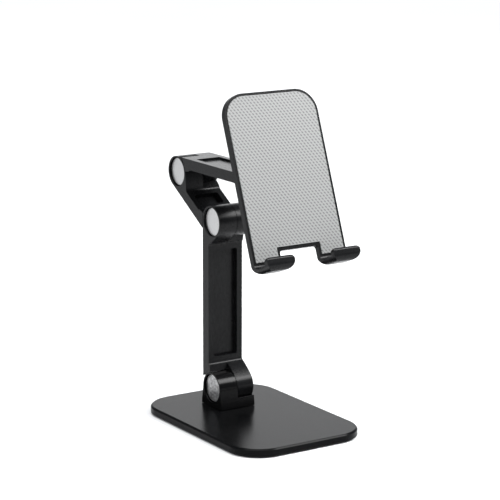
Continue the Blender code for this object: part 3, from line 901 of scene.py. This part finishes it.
@dataclass
class HingeDressing:
    """What shows of a hinge's hardware: the spun cap on its left and the bolt on its right."""

    hinge: Hinge
    body: Body
    at: Matrix
    cap_finish: Finish = SILVER
    sizes: Knuckle = KNUCKLE
    centre_mark: tuple[Point, ...] = ((0.0, 0.10), (0.35, 0.08), (0.6, 0.0))
    rim_groove: tuple[Point, ...] = ((0.9, 0.0), (0.75, 0.05), (0.6, 0.0))
    rim_round: tuple[Point, ...] = ((0.35, 0.0), (0.12, 0.08), (0.0, 0.3))
    back_chamfer: float = 0.3
    head_crown: float = 1.9
    tip_chamfer: float = 0.4

    def cap_mesh(self) -> bpy.types.Mesh:
        """Return the cap: a disc faced on a lathe, marked at its centre and grooved near its rim."""
        k = self.sizes
        face = -k.half + k.cap_sunk
        back = face + k.cap_thickness
        rim = k.cap_radius
        profile = [(radius, face + depth) for radius, depth in self.centre_mark]
        profile += [(rim - inset, face + depth) for inset, depth in self.rim_groove + self.rim_round]
        profile += [(rim, back - self.back_chamfer), (rim - self.back_chamfer, back), (0.0, back)]
        return lathed(profile, CAP_FACETS)

    def bolt_mesh(self) -> bpy.types.Mesh:
        """Return the bolt: a crowned button head on a plain shank."""
        k = self.sizes
        top = k.head_seat + k.head_height
        tip = -k.half + k.cap_sunk + k.cap_thickness + 3 * k.gap
        crown = self.head_crown
        chamfer = self.tip_chamfer
        profile = [(0.0, top)] + arc((k.head_radius - crown, top - crown), crown, 90, 0, 10)
        profile += [(k.head_radius, k.head_seat), (k.bolt_radius, k.head_seat)]
        profile += [(k.bolt_radius, tip + chamfer), (k.bolt_radius - chamfer, tip), (0.0, tip)]
        return lathed(profile)

    def build(self) -> None:
        """Make the cap and the bolt."""
        name = self.hinge.value
        k = self.sizes
        Piece(
            f"{name}_cap_fine", self.cap_mesh(), self.cap_finish, Slot.SILVER, self.body,
            f"{name}_cap", self.at, edge=0.0,
        ).done()
        top = k.head_seat + k.head_height
        socket = prism(hexagon(k.socket_flats), top - k.socket_depth, top + k.past, Along.X)
        bolt = Piece(
            f"{name}_bolt_fine", self.bolt_mesh(), STEEL, Slot.STEEL, self.body,
            f"{name}_bolt", self.at, edge=0.12, edge_steps=2,
        )
        bolt.cut(socket).done()


# ---------------------------------------------------------------- arms and brackets
@dataclass
class Arm:
    """An arm: right knuckle at its lower hinge, left knuckle at its upper one."""

    name: str
    body: Body
    lower: Hinge
    upper: Hinge
    pocketed: bool
    sizes: Knuckle = KNUCKLE
    thickness: float = 6.0
    flare_start: float = 13.5
    flare_fillet: float = 2.2
    flare_end: float = 45.0
    recess_margin: float = 17.2
    recess_rim: float = 3.4
    recess_depth: float = 3.0
    recess_corner: float = 1.2
    pocket_margin: float = 15.4
    pocket_depth: float = 1.2

    @property
    def length(self) -> float:
        """The distance between the arm's hinges."""
        return (hinge_point(self.upper) - hinge_point(self.lower)).length / MM

    @property
    def at(self) -> Matrix:
        """The arm's frame, on its lower hinge."""
        low = hinge_point(self.lower)
        return frame_at(low, hinge_point(self.upper) - low)

    @property
    def inner_face(self) -> float:
        """Where the arm's inner face lies in its thickness."""
        return self.sizes.radius - self.thickness

    def outline(self) -> Outline:
        """Return the arm's (y, z) side view, a flared knuckle at each end.

        Each flare is an arc that touches the knuckle flare_end degrees round from the arm's own
        line and would meet the inner face at flare_start; a fillet eases it into that face.

        Returns:
            The outline, from the upper knuckle round to the lower one.
        """
        radius = self.sizes.radius
        inner = self.inner_face
        reach = hypot(inner, self.flare_start)
        lean = atan2(inner, self.flare_start)
        end = radians(self.flare_end)
        facing = reach * cos(end + lean)
        bow = (reach ** 2 - 2 * radius * facing + radius ** 2) / (2 * (radius - facing))
        y, z = ((bow - radius) * sin(end), (radius - bow) * cos(end))
        start = atan2(y - inner, self.flare_start - z)
        fillet = self.flare_fillet
        run = fillet * tan((pi / 2 - start) / 2)
        first = degrees(start + run / bow)
        last = self.flare_end
        turn = 90 - degrees(start)
        rise = self.flare_start + run
        points = arc((0, self.length), radius, 0, 270 - last)
        points += arc((y, self.length - z), bow, 270 - last, 270 - first, 10)[1:]
        points += arc((inner - fillet, self.length - rise), fillet, turn, 0, 8)
        points += arc((inner - fillet, rise), fillet, 0, -turn, 8)
        points += arc((y, z), bow, 90 + first, 90 + last, 10)[:-1]
        points += arc((0, 0), radius, 90 + last, 360)
        return points

    def hollow(self, margin: float, start: float, end: float) -> bpy.types.Mesh:
        """Return the long recess that leaves a margin to both hinges, from start to end in y."""
        half = self.sizes.half - self.recess_rim
        box = rounded_rectangle((-half, margin), (half, self.length - margin), self.recess_corner, 6)
        return prism(box, start, end, Along.Y)

    def build(self) -> None:
        """Make the arm."""
        k = self.sizes
        body = prism(self.outline(), -k.half, k.half, Along.X)
        piece = Piece(f"{self.name}_fine", body, BLACK, Slot.BLACK, self.body, self.name, self.at)
        piece.cut(
            prism(k.clearance(self.length, False), -k.half - k.past, k.right_end, Along.X),
            prism(k.clearance(self.length, True), k.left_end, k.half + k.past, Along.X),
            self.hollow(self.recess_margin, self.inner_face - k.past, self.inner_face + self.recess_depth),
        )
        if self.pocketed:
            floor = k.radius - self.pocket_depth
            piece.cut(self.hollow(self.pocket_margin, floor, k.radius + k.past))
        piece.cut(*k.child_bores(), *k.parent_bores(self.length))
        piece.done()


@dataclass
class Bracket:
    """A hinge block: one knuckle standing on a foot that is screwed to a plate."""

    name: str
    body: Body
    at: Matrix
    holds_left: bool
    sizes: Knuckle = KNUCKLE
    height: float = 10.6
    foot: float = 10.4
    seat_height: float = 5.8
    land_fall: float = 1.5
    screw_hole: float = 1.6
    screw_depth: float = 2.9
    screw_places: tuple[Point, ...] = ((-5.6, -6.6), (-5.6, 6.6), (6.0, -6.6), (6.0, 6.6))

    def seat(self) -> Outline:
        """Return the (y, z) outline of the space in which the other knuckle turns."""
        k = self.sizes
        top = self.seat_height - self.height
        dip = degrees(asin(-top / k.turning_radius))
        land = top - self.land_fall
        points = arc((0, 0), k.turning_radius, 180 + dip, 360 - dip)
        points += [(k.beyond, land), (k.beyond, k.beyond), (-k.beyond, k.beyond), (-k.beyond, land)]
        return points

    def build(self) -> None:
        """Make the bracket."""
        k = self.sizes
        outline = arc((0, 0), k.radius, 0, 180)
        outline += [(-self.foot, -self.height), (self.foot, -self.height)]
        body = prism(outline, -k.half, k.half, Along.X)
        # the blocks take the darker copy of the anodised black, whose colour is painted shade and painted dark
        # reflection
        piece = Piece(f"{self.name}_fine", body, BLACK_BLOCK_PAINTED_SHADE, Slot.BLACK, self.body, self.name, self.at)
        if self.holds_left:
            space = prism(self.seat(), k.left_end, k.half + k.past, Along.X)
            piece.cut(space, *k.parent_bores())
        else:
            space = prism(self.seat(), -k.half - k.past, k.right_end, Along.X)
            piece.cut(space, *k.child_bores())
        for x, y in self.screw_places:
            hole = arc((x, y), self.screw_hole, 0, 345, 23)
            piece.cut(prism(hole, -self.height - k.past, -self.height + self.screw_depth))
        piece.done()


# ---------------------------------------------------------------- base
@dataclass
class Base:
    """The base plate with its foot pad, and its chamfered rim."""

    corner_radius: float = 19.0
    wall: float = 2.5
    web: float = 2.2
    chamfer: float = 0.9
    pad_thickness: float = 1.0
    groove_inset: float = 6.0
    groove_width: float = 1.2
    groove_depth: float = 0.25
    sizes: Knuckle = KNUCKLE

    def outline(self, half_x: float, half_y: float, inset: float) -> Outline:
        """Return the base's outline drawn in by inset."""
        x = half_x - inset
        y = half_y - inset
        return rounded_rectangle((-x, -y), (x, y), self.corner_radius - inset)

    def build(self) -> None:
        """Make the plate and its pad."""
        low, high = (Vector(corner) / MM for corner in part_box("base_plate"))
        half_x, half_y = high.x, high.y
        underside = low.z
        top = high.z
        plate = Piece(
            "base_plate_fine", self.slab(half_x, half_y, underside, top), BLACK_BASE, Slot.BLACK,
            Body.BASE, "base_plate", edge=0.18, edge_steps=2,
        )
        hollow = prism(
            self.outline(half_x, half_y, self.wall), underside - self.sizes.past, top - self.web
        )
        plate.cut(hollow).done()
        inset = self.wall + self.sizes.gap
        pad = Piece(
            "base_pad_fine", prism(self.outline(half_x, half_y, inset), 0.0, self.pad_thickness),
            RUBBER, Slot.RUBBER, Body.BASE, "base_pad", edge=0.25,
        )
        ring_out = self.outline(half_x, half_y, inset + self.groove_inset)
        ring_in = self.outline(half_x, half_y, inset + self.groove_inset + self.groove_width)
        pad.cut(self.groove(ring_out, ring_in)).done()

    def slab(self, half_x: float, half_y: float, underside: float, top: float) -> bpy.types.Mesh:
        """Return the plate's solid, its upper and lower rims chamfered."""
        layers = [
            (self.chamfer * 0.5, underside),
            (0.0, underside + self.chamfer * 0.5),
            (0.0, top - self.chamfer),
            (self.chamfer, top),
        ]
        return skinned((self.outline(half_x, half_y, inset), z) for inset, z in layers)

    def groove(self, outer: Outline, inner: Outline) -> bpy.types.Mesh:
        """Return the flat ring between two outlines that grooves the pad's underside."""
        below = -self.sizes.past
        floor = self.groove_depth
        return skinned(((outer, below), (outer, floor), (inner, floor), (inner, below)), ring=True)


# ---------------------------------------------------------------- cradle
@dataclass
class Cradle:
    """The cradle plate with its two hooks, grip pad and hook liners."""

    at: Matrix
    width: float = 59.3
    height: float = 96.9
    thickness: float = 3.2
    front: float = -14.1
    drop: float = 44.3
    top_corner: float = 13.0
    bottom_corner: float = 5.0
    hook_reach: float = 13.0
    hook_floor: float = 3.0
    hook_bend: float = 5.5
    lip_thickness: float = 2.8
    lip_height: float = 7.4
    lip_bend: float = 4.0
    lip_corner_radius: float = 2.4
    notch_width: float = 24.6
    notch_height: float = 11.3
    notch_corner: float = 1.5
    pad_seat: float = 0.6
    pad_border: float = 1.2
    pad_thickness: float = 0.6
    pad_foot: float = 6.2
    pad_notch: float = 13.0
    liner_thickness: float = 1.0
    liner_margin: float = 2.2
    liner_round: float = 0.4
    gap: float = 0.3
    past: float = 1.0
    beyond: float = 30.0

    def lowered(self, points: Outline) -> Outline:
        """Return points measured from under the hooks as points measured from the hinge."""
        return [(u, z - self.drop) for u, z in points]

    def side_view(self) -> Outline:
        """Return the plate's (y, z) outline, bent round the hook and up the lip."""
        back = self.front + self.thickness
        inner = self.hook_bend - self.thickness
        lip_front = self.front - self.hook_reach
        lip_back = lip_front + self.lip_thickness
        corner = self.lip_bend - self.lip_thickness
        rounding = self.lip_thickness / 2
        points = [(self.front, self.height)]
        points += arc((self.front - inner, self.hook_floor + inner), inner, 0, -90, 12)
        points += arc((lip_back + corner, self.hook_floor + corner), corner, 270, 180, 10)
        points += arc((lip_front + rounding, self.lip_height - rounding), rounding, 0, 180, 16)
        points += arc((lip_front + self.lip_bend, self.lip_bend), self.lip_bend, 180, 270, 16)
        points += arc((self.front - inner, self.hook_bend), self.hook_bend, 270, 360, 16)
        points.append((back, self.height))
        return self.lowered(points)

    def front_view(self) -> Outline:
        """Return the plate's (x, z) outline: two legs below, big round corners above."""
        half = self.width / 2
        notch = self.notch_width / 2
        low = self.bottom_corner
        top = self.height - self.top_corner
        inner = (notch - self.notch_corner, self.notch_height - self.notch_corner)
        wing = arc(inner, self.notch_corner, 90, 0, 8)
        wing += arc((notch + low, low), low, 180, 270, 14)
        wing += arc((half - low, low), low, 270, 360, 14)
        wing += arc((half - self.top_corner, top), self.top_corner, 0, 90, 32)
        return self.lowered(mirrored(wing))

    def lip_corner(self, x: float, inwards: int) -> Outline:
        """Return the (x, z) outline that rounds a lip's top corner.

        Args:
            x: the lip's end.
            inwards: +1 or -1, the direction from that end into the lip.

        Returns:
            The outline to cut away.
        """
        radius = self.lip_corner_radius
        shoulder = self.lip_height - radius
        middle = x + inwards * radius
        outside = x - inwards * self.past
        start = 180 if inwards > 0 else 0
        points = arc((middle, shoulder), radius, start, 90, 10)
        over = self.lip_height + self.past
        points += [(middle, over), (outside, over), (outside, shoulder)]
        return self.lowered(points)

    def pad_outline(self, inset: float) -> Outline:
        """Return the grip pad's (x, z) outline, drawn in from the plate's edge."""
        half = self.width / 2 - inset
        leg = self.notch_width / 2 + inset
        extra = inset - self.pad_border
        foot = self.pad_foot + extra
        radius = self.top_corner - inset
        wing = [(leg, self.pad_notch + extra), (leg, foot), (half, foot)]
        wing += arc((half - radius, self.height - inset - radius), radius, 0, 90, 28)
        return self.lowered(mirrored(wing))

    def liner_view(self) -> Outline:
        """Return the (y, z) outline of the rubber on a hook's floor and lip."""
        lip_back = self.front - self.hook_reach + self.lip_thickness + self.gap
        floor = self.hook_floor + self.gap
        thick = self.liner_thickness
        corner = self.lip_bend - self.lip_thickness
        start = self.front - (self.hook_bend - self.thickness)
        top = self.lip_height - self.lip_thickness / 2
        bend = self.liner_round
        points = [(start, floor), (start, floor + thick)]
        points += arc((lip_back + thick + bend, floor + thick + bend), bend, 270, 180, 6)
        points += [(lip_back + thick, top), (lip_back, top)]
        points += arc((lip_back + corner, floor + corner), corner, 180, 270, 8)
        return self.lowered(points)

    def build(self) -> None:
        """Make the plate, its grip pad and both liners."""
        half = self.width / 2
        notch = self.notch_width / 2
        lip_front = self.front - self.hook_reach
        lip_past = lip_front + self.lip_thickness + self.past
        plate = Piece(
            "phone_plate_fine", prism(self.side_view(), -half, half, Along.X), BLACK, Slot.BLACK,
            Body.CRADLE, "phone_plate", self.at, edge=0.45,
        )
        plate.keep(prism(self.front_view(), lip_front - self.past, self.front + self.beyond, Along.Y))
        for side in (1, -1):
            for x, inwards in ((side * notch, side), (side * half, -side)):
                corner = self.lip_corner(x, inwards)
                plate.cut(prism(corner, lip_front - self.past, lip_past, Along.Y))
        seat = prism(
            self.pad_outline(self.pad_border), self.front - self.past, self.front + self.pad_seat, Along.Y
        )
        plate.cut(seat).done()
        pad_back = self.front + self.pad_seat - self.gap
        sheet = prism(
            self.pad_outline(self.pad_border + self.gap), pad_back - self.pad_thickness, pad_back, Along.Y
        )
        Piece(
            "plate_pad_fine", sheet, GRIP, Slot.GRIP, Body.CRADLE, "plate_pad", self.at, edge=0.15,
        ).done()
        for side, word in ((-1, "left"), (1, "right")):
            start, end = sorted((side * (notch + self.liner_margin), side * (half - self.liner_margin)))
            liner = prism(self.liner_view(), start, end, Along.X)
            Piece(
                f"hook_pad_{word}_fine", liner, RUBBER, Slot.RUBBER, Body.CRADLE,
                f"hook_pad_{word}", self.at, edge=0.2,
            ).done()


# ---------------------------------------------------------------- frame nodes that stay
@dataclass(frozen=True)
class CarriedOver:
    """The frame's own nodes that stay in view, each with a finish by what its name holds."""

    finishes: tuple[tuple[str, Finish], ...] = (
        ("friction_washer", NYLON),
        ("spring", SPRING),
        ("nut", STEEL),
        ("screw", STEEL),
        ("ballast", STEEL),
    )

    def build(self) -> None:
        """Paint every node that no piece replaces."""
        for name, thing in frame["nodes"].items():
            finish = next((kind for word, kind in self.finishes if word in name), None)
            if finish is None or thing.hide_render:
                continue
            material = finish.material()
            if not thing.data.materials:
                thing.data.materials.append(material)
            for place in thing.material_slots:
                place.material = material
            log.info("%s painted %s", name, finish.name)


# ---------------------------------------------------------------- studio
@dataclass(frozen=True)
class Softbox:
    """A rectangular lamp that faces a point on the stand."""

    name: str
    at: tuple[float, float, float]
    width: float
    height: float
    watts: float
    aim: tuple[float, float, float] = (0.0, 0.0, 0.09)

    def build(self) -> None:
        """Hang the lamp."""
        data = bpy.data.lights.new(self.name, "AREA")
        data.shape = "RECTANGLE"
        data.size = self.width
        data.size_y = self.height
        data.energy = self.watts
        lamp = bpy.data.objects.new(self.name, data)
        lamp.location = self.at
        towards = Vector(self.aim) - Vector(self.at)
        lamp.rotation_euler = towards.to_track_quat("-Z", "Y").to_euler()
        lamp.visible_camera = False
        bpy.context.scene.collection.objects.link(lamp)


@dataclass(frozen=True)
class View:
    """A long-lens camera in front of the stand, to its left and a little above."""

    target: tuple[float, float, float] = (-0.004069, 0.0, 0.094485)
    distance: float = 1.13126
    yaw: float = 32.988
    pitch: float = 12.749
    roll: float = 0.095
    lens: float = 148.95
    sensor: float = 36.0
    shift: Point = (0.0071, 0.0181)

    def build(self) -> None:
        """Set up the camera and make it the scene's."""
        yaw = radians(self.yaw)
        pitch = radians(self.pitch)
        ahead = Vector((sin(yaw) * cos(pitch), cos(yaw) * cos(pitch), -sin(pitch)))
        right = Vector((cos(yaw), -sin(yaw), 0.0))
        up = right.cross(ahead)
        turned = Matrix((right, up, -ahead)).transposed().to_4x4()
        data = bpy.data.cameras.new("camera")
        data.lens = self.lens
        data.sensor_width = self.sensor
        data.shift_x, data.shift_y = self.shift
        camera = bpy.data.objects.new("camera", data)
        where = Vector(self.target) - ahead * self.distance
        roll = Matrix.Rotation(radians(self.roll), 4, "Z")
        camera.matrix_world = Matrix.Translation(where) @ turned @ roll
        bpy.context.scene.collection.objects.link(camera)
        bpy.context.scene.camera = camera


@dataclass(frozen=True)
class Studio:
    """The floor, the sky's even glow and the lamps."""

    floor_half: float = 12.0
    sky: Colour = (0.92, 0.95, 1.0, 1.0)
    sky_strength: float = 0.5
    daylight: float = 2.2
    daylight_spread: float = 50.0
    daylight_turn: tuple[float, float, float] = (12.0, -14.0, 0.0)
    lamps: tuple[Softbox, ...] = (
        Softbox("left", (-1.4, -0.3, 0.7), 0.9, 1.2, 5.5),
        Softbox("right", (1.5, -0.7, 0.8), 0.6, 1.2, 2.5),
        Softbox("front", (0.64, -0.50, 0.84), 0.5, 0.45, 14.0),
        Softbox("behind", (0.9, 1.4, 0.55), 1.0, 0.5, 2.6),
    )

    def build(self) -> None:
        """Make the studio."""
        scene = bpy.context.scene
        scene.view_settings.view_transform = "Standard"
        world = bpy.data.worlds.new("studio")
        scene.world = world
        world.use_nodes = True
        glow = world.node_tree.nodes["Background"]
        glow.inputs["Color"].default_value = self.sky
        glow.inputs["Strength"].default_value = self.sky_strength
        daylight = bpy.data.lights.new("daylight", "SUN")
        daylight.energy = self.daylight
        daylight.angle = radians(self.daylight_spread)
        sun = bpy.data.objects.new("daylight", daylight)
        sun.rotation_euler = [radians(turn) for turn in self.daylight_turn]
        scene.collection.objects.link(sun)
        for lamp in self.lamps:
            lamp.build()
        work = bmesh.new()
        bmesh.ops.create_grid(work, x_segments=8, y_segments=8, size=self.floor_half)
        floor = bpy.data.objects.new("floor", finished(work))
        floor.data.materials.append(TABLETOP.material())
        scene.collection.objects.link(floor)


# ---------------------------------------------------------------- the whole stand
@dataclass
class PhoneStand:
    """The stand: base, three arms, cradle and the hinges between them."""

    arms: tuple[Arm, ...] = (
        Arm("lower_arm", Body.LOWER_ARM, Hinge.BASE, Hinge.ELBOW, True),
        Arm("middle_arm", Body.MIDDLE_ARM, Hinge.ELBOW, Hinge.UPPER, False),
        Arm("upper_arm", Body.UPPER_ARM, Hinge.UPPER, Hinge.PLATE, True),
    )
    hinges: tuple[tuple[Hinge, Body, Finish], ...] = (
        # the base hinge's cap takes the finish whose colour carries a painted fan-shaped highlight
        (Hinge.BASE, Body.BASE, SILVER_PAINTED_FAN_HIGHLIGHT),
        (Hinge.ELBOW, Body.LOWER_ARM, SILVER),
        (Hinge.UPPER, Body.MIDDLE_ARM, SILVER),
        (Hinge.PLATE, Body.UPPER_ARM, SILVER),
    )

    def build(self) -> None:
        """Make every piece."""
        upright = Vector((0.0, 0.0, 1.0))
        normal = mount_axis("phone_rest")
        up_plate = Vector((1.0, 0.0, 0.0)).cross(-normal)
        cradle_frame = frame_at(hinge_point(Hinge.PLATE), up_plate)
        Base().build()
        Bracket("base_bracket", Body.BASE, frame_at(hinge_point(Hinge.BASE), upright), True).build()
        for arm in self.arms:
            arm.build()
        Cradle(cradle_frame).build()
        lying = cradle_frame @ Matrix.Rotation(radians(-90), 4, "X")
        Bracket("plate_bracket", Body.CRADLE, lying, False).build()
        for hinge, body, finish in self.hinges:
            HingeDressing(hinge, body, frame_at(hinge_point(hinge), upright), finish).build()
        CarriedOver().build()


def main() -> None:
    """Dress the frame, light it and note how large it has become."""
    logging.basicConfig(level=logging.INFO, format="%(name)s: %(message)s")
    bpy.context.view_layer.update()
    View().build()
    Studio().build()
    PhoneStand().build()
    log.info("%d fine pieces", len(Piece.made))


if __name__ == "__main__":
    main()
